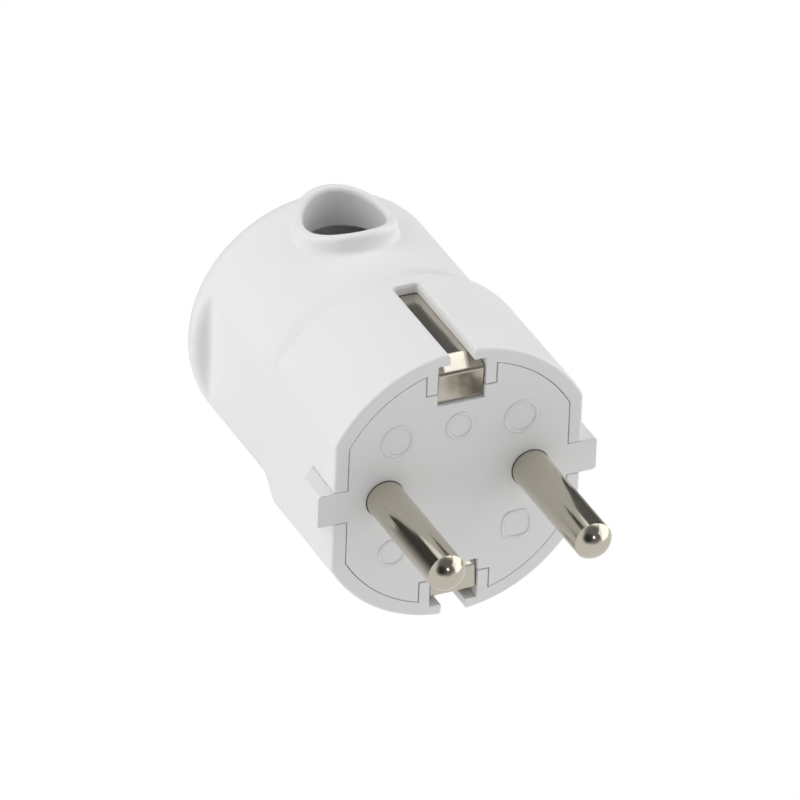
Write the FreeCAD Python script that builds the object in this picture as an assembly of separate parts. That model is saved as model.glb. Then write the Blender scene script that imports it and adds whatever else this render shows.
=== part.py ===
import FreeCAD
import Part
import math
import os

os.makedirs("parts", exist_ok=True)

Vec = FreeCAD.Vector
X_AXIS = Vec(1, 0, 0)
Y_AXIS = Vec(0, 1, 0)
Z_AXIS = Vec(0, 0, 1)
ORIGIN = Vec(0, 0, 0)
HALF = 0.5
FULL_TURN = 360.0
QUARTER_TURN = 90.0
HEX_SIDES = 6
SIDES = (-1.0, 1.0)
SIDE_NAMES = ("left", "right")

# Millimetres. Drawn lying: the pins along -Y, the cable entry along +Z, the mating face on Y = 0
# Saved standing on the hood's rear end: the pins along +Z, the cable entry along +Y
# Contact pins, sizes of the plug standard
pin_pitch = 19.0
pin_r = 2.4
pin_reach = 19.0
pin_cap_h = 1.475
pin_neck_r = 2.15
pin_neck_y = -0.1
pin_hole_gap = 0.05
terminal_r = 3.1
terminal_set_back = 0.5
terminal_chamfer = 0.4
wire_bore_r = 1.5
wire_bore_margin = 3.5

# Hood, outer form
front_r = 18.33
front_draft = 0.03
rear_r = 16.83
body_len = 43.4
shoulder_len = 5.1
shoulder_lead = 1.2
shoulder_trail = 2.65
flat_clear = 1.02
flat_taper = 1.3
flange_t = 4.1
flange_root_r = 1.0
front_edge_r = 0.4
rear_edge_r = 2.7
crease_r = 1.3

# Hood, wall and inside
wall = 1.89
flat_wall = 1.78
rear_wall = 2.2
inner_rear_round = 1.2
rib_t = 1.6
rib_h = 1.6
rib_angles = (48.0, 132.0, 228.0, 312.0)
rib_set_back = 0.5

# Cable entry
entry_from_rear = 9.5
entry_bore_r = 5.05
entry_depth = 5.38
collar_r = 6.45
collar_rise = 2.15
collar_set_back = 4.35
saddle_r = 13.0
collar_base_r = 0.8
collar_edge_r = 0.7
mouth_edge_r = 0.6

# Earth slots and the teeth beside them
slot_w = 3.2
slot_margin = 1.5
slot_corner_r = 0.5
slot_round = 0.55
tooth_in = 3.15
tooth_out = 4.5
tooth_drop = 3.62
tooth_side_gap = 0.15

# Pin carrier
fit_gap = 0.08
side_fit_gap = 0.12
plate_t = 3.5
carrier_set_back = 1.0
lug_out = 1.97
lug_half_h = 2.15
lug_len = 4.3
lug_ramp_end = 6.5
lug_edge_r = 0.5
lug_soft_r = 0.35
lug_gap = 0.07
block_wall = 0.8
block_top = 2.5
block_bottom = -4.8
cradle_gap = 0.1
strap_rail_w = 3.8
strap_rail_back = 1.0
earth_relief = 3.0

# Earth strap
strap_t = 0.8
strap_w = 5.9
strap_depth = 1.58
strap_front_y = 0.05
strap_nose_len = 5.27
strap_nose_back = 0.3
strap_nose_r = 1.9
strap_rear_r = 3.2
strap_side_gap = 0.15
strap_seat_gap = 0.05
strap_seat_past = 1.6
strap_recess_depth = 2.6
strap_recess_gap = 0.15

# Pin retainer and cord clamp
retainer_t = 2.0
retainer_top = 3.0
retainer_bottom = -5.5
retainer_foot_w = 8.4
retainer_foot_drop = 3.0
wire_hole_r = 1.9
post_x = 7.2
post_z = 8.5
post_r = 2.5
post_past_entry = 3.2
saddle_back = 7.2
saddle_rim_back = 3.2
clamp_half_h = 2.0
cord_r = 4.4
clamp_bar_t = 2.2
clamp_bar_round = 0.5

# Screws, nut and washer
thread_gap = 0.1
clearance_gap = 0.3
house_screw_r = 2.0
house_head_r = 3.6
house_head_h = 2.4
house_head_depth = 3.1
house_tip_past_nut = 2.1
house_recess_gap = 0.3
boss_r = 3.7
boss_head_r = 5.6
boss_head_len = 3.0
nut_flats = 7.0
nut_t = 3.2
nut_seat_depth = 3.4
nut_gap = 0.1
tip_relief = 3.6
terminal_screw_r = 1.45
terminal_screw_back = 6.0
terminal_head_r = 2.5
terminal_head_h = 1.8
terminal_head_z = 3.6
terminal_screw_tip_z = 0.3
earth_screw_r = 1.7
earth_screw_grip = 4.0
earth_head_r = 3.0
earth_head_h = 2.0
earth_washer_w = 7.4
earth_washer_t = 0.8
earth_washer_r = 0.8
clamp_screw_r = 1.45
clamp_screw_grip = 11.4
clamp_head_r = 2.4
clamp_head_h = 1.3
slot_head_w = 0.8
slot_head_depth = 0.9
head_edge_r = 0.35

# Working allowances: overlap of joined blocks, length of cutters, and how edges are picked
over = 1.0
reach = 30.0
pick_tol = 0.05
pick_len = 1.0
pick_points = 9

# Places along the body
entry_y = body_len - entry_from_rear
shoulder_end = entry_y - collar_r - collar_set_back
shoulder_start = shoulder_end - shoulder_len
carrier_len = shoulder_start - carrier_set_back
slot_len = shoulder_start - slot_margin
strap_seat_end = carrier_len + strap_seat_past
web_front_y = carrier_len + retainer_t
web_rear_y = web_front_y + strap_t
terminal_end = carrier_len - terminal_set_back
flange_y = body_len - flange_t
cavity_end = body_len - rear_wall
nut_front_y = carrier_len - nut_seat_depth
house_head_y = body_len - house_head_depth
post_end_y = entry_y + post_past_entry
bar_end_y = post_end_y + clamp_bar_t
clamp_screw_tip_y = post_end_y - clamp_screw_grip
earth_seat_y = web_rear_y + earth_washer_t
terminal_screw_y = terminal_end - terminal_screw_back

# Places across the body
half_pitch = pin_pitch * HALF
retainer_half_w = half_pitch + terminal_r
block_half_w = retainer_half_w + block_wall
plate_half_w = block_half_w + flat_clear - side_fit_gap
cavity_flat_front = plate_half_w + side_fit_gap
flat_front_x = cavity_flat_front + flat_wall
flat_rear_x = flat_front_x - flat_taper
cavity_flat_rear = flat_rear_x - flat_wall
cavity_front_r = front_r - wall
cavity_rear_r = rear_r - wall
plate_r = cavity_front_r - fit_gap
lug_x = flat_front_x + lug_out
lug_half_gap_h = lug_half_h + lug_gap
collar_top = rear_r + collar_rise
entry_floor = collar_top - entry_depth
shoulder_r = front_r - front_draft
strap_z = shoulder_r - strap_depth
tooth_z = strap_z - tooth_drop
strap_nose_end_z = strap_z - strap_nose_len
strap_recess_z = strap_nose_end_z - strap_recess_gap
rail_z = strap_z - strap_t - strap_seat_gap
earth_screw_z = -(boss_r + strap_z - strap_rear_r) * HALF
tab_half_w = post_x + post_r


def block(x0, x1, y0, y1, z0, z1):
    """Rectangular block between two corners."""
    return Part.makeBox(x1 - x0, y1 - y0, z1 - z0, Vec(x0, y0, z0))


def rod_y(r, y0, y1, x=0.0, z=0.0):
    """Round rod along Y."""
    return Part.makeCylinder(r, y1 - y0, Vec(x, y0, z), Y_AXIS)


def rod_z(r, z0, z1, x=0.0, y=0.0):
    """Round rod along Z."""
    return Part.makeCylinder(r, z1 - z0, Vec(x, y, z0), Z_AXIS)


def line(a, b):
    """Straight edge."""
    return Part.LineSegment(a, b).toShape()


def arc(a, m, b):
    """Round edge through three points."""
    return Part.Arc(a, m, b).toShape()


def bezier(points):
    """Smooth edge from its control points."""
    curve = Part.BezierCurve()
    curve.setPoles(points)
    return curve.toShape()


def turned(edges):
    """Solid of revolution about Y from a closed outline in the XY plane."""
    face = Part.Face(Part.Wire(edges))
    return face.revolve(ORIGIN, Y_AXIS, FULL_TURN)


def prism_z(points, z0, z1):
    """Upright prism from an outline given as (x, y) pairs."""
    corners = [Vec(x, y, z0) for x, y in points]
    face = Part.Face(Part.makePolygon(corners + corners[:1]))
    return face.extrude(Vec(0, 0, z1 - z0))


def merged(shape, others):
    """One clean solid made of a shape and what is joined to it."""
    return shape.fuse(others).removeSplitter().Solids[0]


def hexagon(flats, y):
    """Six-sided face across Y from the distance over its flats."""
    r = flats * HALF / math.cos(math.pi / HEX_SIDES)
    turn = math.radians(FULL_TURN) / HEX_SIDES
    corners = [Vec(r * math.cos(i * turn), y, r * math.sin(i * turn)) for i in range(HEX_SIDES)]
    return Part.Face(Part.makePolygon(corners + corners[:1]))


def save(shape, node):
    """Write one piece, stood up on the hood's rear end."""
    standing = shape.copy()
    standing.rotate(ORIGIN, X_AXIS, -QUARTER_TURN)
    standing.exportStep("parts/%s.step" % node)


def rounded(shape, radius, wanted):
    """Round every edge that the test picks."""
    edges = [edge for edge in shape.Edges if wanted(edge)]
    return shape.makeFillet(radius, edges)


def body_outline(r_front, r_shoulder, r_rear, y0, y1, end_round, shift):
    """Half outline of the hood or of its hollow, from the axis at the front to the axis at the rear."""
    s0 = shoulder_start - shift
    s1 = shoulder_end - shift
    a = Vec(0, y0, 0)
    b = Vec(r_front, y0, 0)
    c = Vec(r_shoulder, s0, 0)
    d = Vec(r_rear, s1, 0)
    e = Vec(r_rear, y1 - end_round, 0)
    bow = end_round * math.sqrt(HALF)
    f = Vec(r_rear - end_round + bow, y1 - end_round + bow, 0)
    g = Vec(r_rear - end_round, y1, 0)
    h = Vec(0, y1, 0)
    sweep = [c, Vec(r_shoulder, s0 + shoulder_lead, 0), Vec(r_rear, s1 - shoulder_trail, 0), d]
    return [line(a, b), line(b, c), bezier(sweep), line(d, e), arc(e, f, g), line(g, h), line(h, a)]


def side_cut(side):
    """What the flat on one side of the hood takes away, with the round root at the flange."""
    q = flange_root_r
    bow = q - q * math.sqrt(HALF)
    a = Vec(side * flat_front_x, -over, -reach)
    b = Vec(side * flat_rear_x, flange_y - q, -reach)
    m = Vec(side * (flat_rear_x + bow), flange_y - bow, -reach)
    c = Vec(side * (flat_rear_x + q), flange_y, -reach)
    d = Vec(side * reach, flange_y, -reach)
    e = Vec(side * reach, -over, -reach)
    wire = Part.Wire([line(a, b), arc(b, m, c), line(c, d), line(d, e), line(e, a)])
    return Part.Face(wire).extrude(Vec(0, 0, reach + reach))


def lug_outline(side):
    """Outline of a side lug, with its ramp at the back."""
    inner = side * (plate_half_w - over)
    root = side * cavity_flat_front
    return [
        (inner, 0.0),
        (side * lug_x, 0.0),
        (side * lug_x, lug_len),
        (side * flat_front_x, lug_ramp_end),
        (root, lug_ramp_end),
        (root, plate_t),
        (inner, plate_t),
    ]


def notch_outline(side):
    """Outline of the notch in the hood that a side lug passes through."""
    inner = side * (cavity_flat_rear - over)
    return [
        (inner, -over),
        (side * reach, -over),
        (side * reach, lug_len + lug_gap),
        (side * lug_x, lug_len + lug_gap),
        (side * flat_front_x, lug_ramp_end + lug_gap),
        (inner, lug_ramp_end + lug_gap),
    ]


def slot_ring(grow, z):
    """Outline of an earth slot at one height, with round corners at its closed end."""
    half = slot_w * HALF + grow
    q = slot_corner_r + grow
    bow = q - q * math.sqrt(HALF)
    end = slot_len + grow
    a = Vec(-half, -over, z)
    b = Vec(-half, end - q, z)
    m = Vec(-half + bow, end - bow, z)
    c = Vec(-half + q, end, z)
    d = Vec(half - q, end, z)
    n = Vec(half - bow, end - bow, z)
    e = Vec(half, end - q, z)
    f = Vec(half, -over, z)
    return Part.Wire([line(a, b), arc(b, m, c), line(c, d), arc(d, n, e), line(e, f), line(f, a)])


def strip_face(points, radii, t):
    """Face of a bent strip in the YZ plane: a centre line of straight runs with round corners."""
    low = []
    high = []
    last = points[0]
    for i in range(1, len(points)):
        way = (points[i] - points[i - 1]).normalize()
        side = X_AXIS.cross(way) * (t * HALF)
        if i == len(points) - 1:
            low.append(line(last - side, points[i] - side))
            high.append(line(last + side, points[i] + side))
            continue
        onward = (points[i + 1] - points[i]).normalize()
        turn = way.getAngle(onward)
        back = radii[i - 1] * math.tan(turn * HALF)
        start = points[i] - way * back
        end = points[i] + onward * back
        inward = (onward - way).normalize()
        centre = points[i] + inward * (radii[i - 1] / math.cos(turn * HALF))
        next_side = X_AXIS.cross(onward) * (t * HALF)
        low.append(line(last - side, start - side))
        high.append(line(last + side, start + side))
        for edges, sign in ((low, -1.0), (high, 1.0)):
            first = start + side * sign
            final = end + next_side * sign
            middle = centre - inward * (first - centre).Length
            edges.append(arc(first, middle, final))
        last = end
    cap_a = line(low[0].Vertexes[0].Point, high[0].Vertexes[0].Point)
    cap_b = line(low[-1].Vertexes[-1].Point, high[-1].Vertexes[-1].Point)
    wire = Part.Wire(Part.__sortEdges__(low + high + [cap_a, cap_b]))
    return Part.Face(wire)


def slotted_screw(shank_r, head_r, head_h, length):
    """Pan head screw along -Z from its seat at the origin, the head above."""
    head = Part.makeCylinder(head_r, head_h)
    head = rounded(head, head_edge_r, lambda e: e.CenterOfMass.z > head_h * HALF and len(e.Vertexes) == 1)
    half_slot = slot_head_w * HALF
    head = head.cut(block(-reach, reach, -half_slot, half_slot, head_h - slot_head_depth, reach))
    shank = Part.makeCylinder(shank_r, length, ORIGIN, Vec(0, 0, -1))
    return merged(head, [shank])


def placed(shape, x, y, z, along_y):
    """Screw moved to its seat, with its head towards +Y where asked."""
    moved = shape.copy()
    if along_y:
        moved.rotate(ORIGIN, X_AXIS, -QUARTER_TURN)
    moved.translate(Vec(x, y, z))
    return moved


# Hood
outer = turned(body_outline(front_r, shoulder_r, rear_r, 0.0, body_len, rear_edge_r, 0.0))
for side in SIDES:
    outer = outer.cut(side_cut(side))
outer = outer.Solids[0]


def on_front_rim(edge):
    """Edge of the front outline."""
    return edge.BoundBox.YMax < HALF * front_edge_r


def on_flange_edge(edge):
    """Outer edge of the flange behind a side flat."""
    box = edge.BoundBox
    on_plane = abs(box.YMin - flange_y) < front_edge_r and abs(box.YMax - flange_y) < front_edge_r
    return on_plane and box.XLength > front_edge_r


def on_crease(edge):
    """Long edge between a side flat and the round body."""
    box = edge.BoundBox
    return box.YLength > over and abs(box.XMin) > cavity_flat_rear and abs(edge.CenterOfMass.z) > over


outer = rounded(outer, crease_r, lambda e: on_crease(e) or on_flange_edge(e))
outer = rounded(outer, front_edge_r, on_front_rim)

collar = rod_z(collar_r, entry_floor, collar_top, 0.0, entry_y)
collar = collar.common(rod_y(saddle_r, 0.0, body_len, 0.0, collar_top - saddle_r))
outer = merged(outer, [collar])


def near_collar(edge, r):
    """Edge that lies on the collar's round wall."""
    points = edge.discretize(pick_points)
    on_wall = all(abs(math.hypot(p.x, p.y - entry_y) - r) < pick_tol and p.z > 0 for p in points)
    return on_wall and edge.BoundBox.XLength > pick_len


def collar_foot(edge):
    """Edge where the collar meets the hood."""
    return near_collar(edge, collar_r) and edge.BoundBox.ZMax < rear_r + pick_tol


def collar_head(edge):
    """Outer edge of the collar's top."""
    return near_collar(edge, collar_r) and edge.BoundBox.ZMax > collar_top - collar_edge_r


outer = rounded(outer, collar_base_r, collar_foot)
outer = rounded(outer, collar_edge_r, collar_head)
outer = outer.cut(rod_z(entry_bore_r, entry_floor, reach, 0.0, entry_y))


def mouth_rim(edge):
    """Inner edge of the cable mouth."""
    return near_collar(edge, entry_bore_r) and edge.BoundBox.ZMin > entry_floor + over


outer = rounded(outer, mouth_edge_r, mouth_rim)

hollow = turned(
    body_outline(
        cavity_front_r, cavity_front_r, cavity_rear_r, -over, cavity_end, inner_rear_round, fit_gap
    )
)
hollow_sides = prism_z(
    [
        (-cavity_flat_front, -over),
        (cavity_flat_front, -over),
        (cavity_flat_front, 0.0),
        (cavity_flat_rear, flange_y),
        (cavity_flat_rear, body_len),
        (-cavity_flat_rear, body_len),
        (-cavity_flat_rear, flange_y),
        (-cavity_flat_front, 0.0),
    ],
    -reach,
    reach,
)
hollow = hollow.common(hollow_sides)
hood = outer.cut(hollow)

entry_tube = rod_z(collar_r, entry_floor, rear_r - over, 0.0, entry_y)
entry_tube = entry_tube.cut(rod_z(entry_bore_r, entry_floor - over, rear_r, 0.0, entry_y))
boss = rod_y(boss_r, web_rear_y, cavity_end + over)
boss_head = rod_y(boss_head_r, house_head_y - boss_head_len, cavity_end + over)
additions = [entry_tube, boss, boss_head]
for angle in rib_angles:
    rib = block(
        cavity_front_r - rib_h,
        cavity_front_r + over,
        plate_t,
        carrier_len - rib_set_back,
        -rib_t * HALF,
        rib_t * HALF,
    )
    rib.rotate(ORIGIN, Y_AXIS, -angle)
    additions.append(rib)
for side in SIDES:
    for top in SIDES:
        x0 = min(side * tooth_in, side * tooth_out)
        z0 = min(top * tooth_z, top * (cavity_front_r + fit_gap))
        tooth = block(
            x0, x0 + tooth_out - tooth_in, 0.0, carrier_len, z0, z0 + cavity_front_r + fit_gap - tooth_z
        )
        additions.append(tooth)
hood = merged(hood, additions)

slot_bow = slot_round - slot_round * math.sqrt(HALF)
slot_rim_x = slot_w * HALF + slot_bow
slot_rim_z = math.sqrt(shoulder_r * shoulder_r - slot_rim_x * slot_rim_x)
slot_flare = math.tan(math.radians(QUARTER_TURN) * HALF * HALF)
slot_rings = [
    slot_ring(0.0, tooth_z),
    slot_ring(0.0, slot_rim_z - slot_round),
    slot_ring(slot_bow, slot_rim_z - slot_bow),
    slot_ring(over, slot_rim_z - slot_bow + (over - slot_bow) * slot_flare),
]
slot_cut = Part.makeLoft(slot_rings, True, True)
strap_half = strap_w * HALF + strap_side_gap
seat_z = strap_z + strap_seat_gap
seat_cut = block(-strap_half, strap_half, -over, strap_seat_end, tooth_z, seat_z)
for cutter in (slot_cut, seat_cut):
    hood = hood.cut(cutter)
    hood = hood.cut(cutter.mirror(ORIGIN, Z_AXIS))
for side in SIDES:
    hood = hood.cut(prism_z(notch_outline(side), -lug_half_gap_h, lug_half_gap_h))
hood = hood.cut(rod_y(house_screw_r + clearance_gap, 0.0, body_len + over))
hood = hood.cut(rod_y(house_head_r + house_recess_gap, house_head_y, body_len + over))
hood = hood.removeSplitter().Solids[0]
save(hood, "hood")

# Pin carrier


def on_lug_corner(edge, up):
    """Long outer edge of a lug, on its upper or lower side."""
    middle = edge.CenterOfMass
    outer_edge = abs(middle.x) > lug_x - lug_soft_r and edge.BoundBox.YLength > lug_len * HALF
    return outer_edge and middle.z * up > lug_half_h * HALF and edge.BoundBox.ZLength < lug_soft_r


plate = rod_y(plate_r, 0.0, plate_t)
plate = plate.common(block(-plate_half_w, plate_half_w, 0.0, plate_t, -reach, reach))
terminal_block = block(-block_half_w, block_half_w, plate_t - over, carrier_len, block_bottom, block_top)
rail_half = strap_rail_w * HALF
top_rail = block(-rail_half, rail_half, plate_t - over, carrier_len - strap_rail_back, 0.0, rail_z)
low_rail = block(-rail_half, rail_half, plate_t - over, carrier_len - earth_relief, -rail_z, 0.0)
lugs = []
for side in SIDES:
    lug = prism_z(lug_outline(side), -lug_half_h, lug_half_h)
    lug = rounded(lug, lug_edge_r, lambda e: on_lug_corner(e, -side))
    lug = rounded(lug, lug_soft_r, lambda e: on_lug_corner(e, side))
    lugs.append(lug)
carrier = merged(plate, [terminal_block, top_rail, low_rail] + lugs)
tooth_gap_x = tooth_in - strap_side_gap
for top in SIDES:
    teeth_z0 = min(top * (tooth_z - strap_side_gap), top * reach)
    teeth_z1 = max(top * (tooth_z - strap_side_gap), top * reach)
    for side in SIDES:
        x0 = min(side * tooth_gap_x, side * (tooth_out + tooth_side_gap))
        x1 = max(side * tooth_gap_x, side * (tooth_out + tooth_side_gap))
        carrier = carrier.cut(block(x0, x1, -over, carrier_len, teeth_z0, teeth_z1))
    nose_z0 = min(top * strap_recess_z, top * reach)
    nose_z1 = max(top * strap_recess_z, top * reach)
    carrier = carrier.cut(block(-strap_half, strap_half, -over, strap_recess_depth, nose_z0, nose_z1))
    leg_z0 = min(top * rail_z, top * reach)
    leg_z1 = max(top * rail_z, top * reach)
    carrier = carrier.cut(block(-strap_half, strap_half, -over, carrier_len, leg_z0, leg_z1))
for side in SIDES:
    x = side * half_pitch
    carrier = carrier.cut(rod_y(pin_r + pin_hole_gap, -over, carrier_len, x))
    carrier = carrier.cut(rod_y(terminal_r + cradle_gap, plate_t, carrier_len + over, x))
    half_mouth = terminal_r + cradle_gap
    carrier = carrier.cut(block(x - half_mouth, x + half_mouth, plate_t, carrier_len + over, 0.0, reach))
pocket = hexagon(nut_flats + nut_gap + nut_gap, nut_front_y - nut_gap).extrude(Vec(0, carrier_len, 0))
carrier = carrier.cut(pocket)
carrier = carrier.cut(rod_y(house_screw_r + clearance_gap, nut_front_y - tip_relief, carrier_len))
carrier = carrier.removeSplitter().Solids[0]
save(carrier, "pin_carrier")

# Contact pins with their screw terminals
cap_r = (pin_r * pin_r + pin_cap_h * pin_cap_h) / (pin_cap_h + pin_cap_h)
cap_start = -pin_reach + pin_cap_h
cap_turn = math.asin(pin_r / cap_r) * HALF
pin_edges = [
    line(Vec(0, -pin_reach, 0), Vec(0, terminal_end, 0)),
    line(Vec(0, terminal_end, 0), Vec(terminal_r - terminal_chamfer, terminal_end, 0)),
    line(
        Vec(terminal_r - terminal_chamfer, terminal_end, 0),
        Vec(terminal_r, terminal_end - terminal_chamfer, 0),
    ),
    line(Vec(terminal_r, terminal_end - terminal_chamfer, 0), Vec(terminal_r, plate_t, 0)),
    line(Vec(terminal_r, plate_t, 0), Vec(pin_neck_r, plate_t, 0)),
    line(Vec(pin_neck_r, plate_t, 0), Vec(pin_neck_r, pin_neck_y, 0)),
    line(Vec(pin_neck_r, pin_neck_y, 0), Vec(pin_r, pin_neck_y, 0)),
    line(Vec(pin_r, pin_neck_y, 0), Vec(pin_r, cap_start, 0)),
    arc(
        Vec(pin_r, cap_start, 0),
        Vec(cap_r * math.sin(cap_turn), -pin_reach + cap_r - cap_r * math.cos(cap_turn), 0),
        Vec(0, -pin_reach, 0),
    ),
]
pin = turned(pin_edges)
pin = pin.cut(rod_y(wire_bore_r, plate_t + wire_bore_margin, terminal_end + over))
pin = pin.cut(rod_z(terminal_screw_r + thread_gap, 0.0, reach, 0.0, terminal_screw_y))
terminal_screw = slotted_screw(
    terminal_screw_r, terminal_head_r, terminal_head_h, terminal_head_z - terminal_screw_tip_z
)
for side, name in zip(SIDES, SIDE_NAMES):
    x = side * half_pitch
    fitted = pin.copy()
    fitted.translate(Vec(x, 0, 0))
    save(fitted, "pin_%s" % name)
    screw = placed(terminal_screw, x, terminal_screw_y, terminal_head_z, False)
    save(screw, "terminal_screw_%s" % name)

# Earth strap
mid_z = strap_z - strap_t * HALF
mid_front = strap_front_y + strap_t * HALF
mid_rear = web_front_y + strap_t * HALF
strap_points = [
    Vec(0, mid_front + strap_nose_back, strap_nose_end_z),
    Vec(0, mid_front, mid_z),
    Vec(0, mid_rear, mid_z),
    Vec(0, mid_rear, -mid_z),
    Vec(0, mid_front, -mid_z),
    Vec(0, mid_front + strap_nose_back, -strap_nose_end_z),
]
strap = strip_face(strap_points, [strap_nose_r, strap_rear_r, strap_rear_r, strap_nose_r], strap_t)
strap = strap.extrude(Vec(strap_w, 0, 0))
strap.translate(Vec(-strap_w * HALF, 0, 0))
strap = strap.cut(rod_y(house_screw_r + clearance_gap, carrier_len, body_len))
strap = strap.cut(rod_y(earth_screw_r + thread_gap, carrier_len, body_len, 0.0, earth_screw_z))
strap = strap.Solids[0]
save(strap, "earth_strap")

# Pin retainer with the cord saddle
retainer = block(-retainer_half_w, retainer_half_w, carrier_len, web_front_y, retainer_bottom, retainer_top)
foot_half = retainer_foot_w * HALF
foot_z = earth_screw_z - retainer_foot_drop
foot = block(-foot_half, foot_half, carrier_len, web_front_y, foot_z, retainer_bottom)
tab = block(-tab_half_w, tab_half_w, carrier_len, web_front_y, retainer_top, post_z + post_r)
saddle = block(
    -post_x,
    post_x,
    entry_y - saddle_back,
    entry_y - saddle_rim_back,
    post_z - clamp_half_h,
    post_z + clamp_half_h,
)
saddle = saddle.cut(rod_z(cord_r, 0.0, reach, 0.0, entry_y))
posts = [rod_y(post_r, carrier_len, post_end_y, side * post_x, post_z) for side in SIDES]
retainer = merged(retainer, [foot, tab, saddle] + posts)
for side in SIDES:
    retainer = retainer.cut(rod_y(wire_hole_r, 0.0, body_len, side * half_pitch))
    retainer = retainer.cut(
        rod_y(clamp_screw_r + thread_gap, clamp_screw_tip_y - over, body_len, side * post_x, post_z)
    )
retainer = retainer.cut(rod_y(house_screw_r + clearance_gap, 0.0, body_len))
retainer = retainer.cut(rod_y(earth_screw_r + clearance_gap, 0.0, body_len, 0.0, earth_screw_z))
retainer = retainer.removeSplitter().Solids[0]
save(retainer, "pin_retainer")

# Cord clamp bar and its screws
bar = block(
    -tab_half_w, tab_half_w, post_end_y, bar_end_y, post_z - clamp_half_h, post_z + clamp_half_h
)
bar = rounded(bar, clamp_bar_round, lambda e: e.BoundBox.YLength > clamp_bar_t * HALF)
bar = bar.cut(rod_z(cord_r, 0.0, reach, 0.0, entry_y))
for side in SIDES:
    bar = bar.cut(rod_y(clamp_screw_r + clearance_gap, 0.0, body_len, side * post_x, post_z))
bar = bar.Solids[0]
save(bar, "clamp_bar")
clamp_screw = slotted_screw(clamp_screw_r, clamp_head_r, clamp_head_h, bar_end_y - clamp_screw_tip_y)
for side, name in zip(SIDES, SIDE_NAMES):
    screw = placed(clamp_screw, side * post_x, bar_end_y, post_z, True)
    save(screw, "clamp_screw_%s" % name)

# Earth terminal
washer_half = earth_washer_w * HALF
washer = block(
    -washer_half,
    washer_half,
    web_rear_y,
    earth_seat_y,
    earth_screw_z - washer_half,
    earth_screw_z + washer_half,
)
washer = rounded(washer, earth_washer_r, lambda e: e.BoundBox.YLength > earth_washer_t * HALF)
washer = washer.cut(rod_y(earth_screw_r + clearance_gap, 0.0, body_len, 0.0, earth_screw_z))
save(washer, "earth_washer")
earth_tip_y = web_front_y - earth_screw_grip
earth_screw = slotted_screw(earth_screw_r, earth_head_r, earth_head_h, earth_seat_y - earth_tip_y)
earth_screw = placed(earth_screw, 0.0, earth_seat_y, earth_screw_z, True)
save(earth_screw, "earth_screw")

# Screw and nut that hold the hood
house_len = house_head_y - nut_front_y + house_tip_past_nut
house_screw = slotted_screw(house_screw_r, house_head_r, house_head_h, house_len)
house_screw = placed(house_screw, 0.0, house_head_y, 0.0, True)
save(house_screw, "housing_screw")
nut = hexagon(nut_flats, nut_front_y).extrude(Vec(0, nut_t, 0))
nut = nut.cut(rod_y(house_screw_r + thread_gap, 0.0, carrier_len))
save(nut, "housing_nut")
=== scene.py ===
"""Looks of an angled two-pin earthed plug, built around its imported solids."""

import logging
import math
from dataclasses import dataclass
from enum import Enum
from typing import Any, Callable, Iterable

import bmesh
import bpy
from mathutils import Matrix, Vector


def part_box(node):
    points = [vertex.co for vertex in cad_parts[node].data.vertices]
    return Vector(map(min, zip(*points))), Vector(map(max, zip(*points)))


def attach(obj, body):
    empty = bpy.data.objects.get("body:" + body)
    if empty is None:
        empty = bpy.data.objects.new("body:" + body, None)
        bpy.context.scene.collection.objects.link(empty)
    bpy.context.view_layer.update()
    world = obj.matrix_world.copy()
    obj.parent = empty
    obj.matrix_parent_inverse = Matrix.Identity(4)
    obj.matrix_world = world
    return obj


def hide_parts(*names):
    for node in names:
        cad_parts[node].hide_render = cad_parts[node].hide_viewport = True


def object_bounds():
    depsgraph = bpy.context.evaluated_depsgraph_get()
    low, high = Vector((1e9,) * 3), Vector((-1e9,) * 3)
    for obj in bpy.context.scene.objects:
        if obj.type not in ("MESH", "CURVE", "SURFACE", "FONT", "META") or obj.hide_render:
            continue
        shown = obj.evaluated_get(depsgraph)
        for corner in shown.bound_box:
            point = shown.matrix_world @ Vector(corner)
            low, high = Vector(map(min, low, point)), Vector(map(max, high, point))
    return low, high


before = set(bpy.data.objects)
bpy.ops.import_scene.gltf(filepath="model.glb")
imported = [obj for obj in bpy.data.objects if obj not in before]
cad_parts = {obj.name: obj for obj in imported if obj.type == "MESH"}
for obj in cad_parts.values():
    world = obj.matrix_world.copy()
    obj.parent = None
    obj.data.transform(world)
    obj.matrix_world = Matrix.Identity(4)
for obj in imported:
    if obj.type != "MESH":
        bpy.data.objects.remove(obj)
cad_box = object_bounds()

MM = 0.001
FULL_TURN = 2.0 * math.pi
RIGHT_ANGLE = FULL_TURN / 4
ROOT = "root"
SHARP_EDGE = math.radians(40.0)
BEVEL_SAMPLES = 4
WHITE = (1.0, 1.0, 1.0, 1.0)

# Inputs of a Mix node: the factor, and the two single values.
MIX_FACTOR, MIX_FIRST, MIX_SECOND = 0, 2, 3

# Kind of a group's socket, by the number of values that it holds.
SOCKET_KINDS = {1: "NodeSocketFloat", 3: "NodeSocketVector", 4: "NodeSocketColor"}

log = logging.getLogger("plug")

Colour = tuple[float, float, float]
Rgba = tuple[float, float, float, float]
Point = tuple[float, float, float]
Face = tuple[int, ...]


class Slot(Enum):
    """Material slots of the part's record."""

    WHITE_SHELL = "white_shell"
    GREY_PLASTIC = "grey_plastic"
    NICKEL_BRASS = "nickel_brass"
    NICKEL_STRIP = "nickel_strip"
    PLATED_STEEL = "plated_steel"


class Along(Enum):
    """Direction in which a metal was drawn or rolled, as noise stretch factors."""

    PIN = (1.0, 1.0, 0.02)
    STRIP_WIDTH = (0.04, 1.0, 1.0)
    NONE = (1.0, 1.0, 1.0)


class Tip(Enum):
    """Way that a screw's tip points, with the two directions across it."""

    PIN_WAY = (Vector((0, 0, 1)), Vector((1, 0, 0)), Vector((0, 1, 0)))
    FROM_CABLE = (Vector((0, -1, 0)), Vector((1, 0, 0)), Vector((0, 0, 1)))


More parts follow.
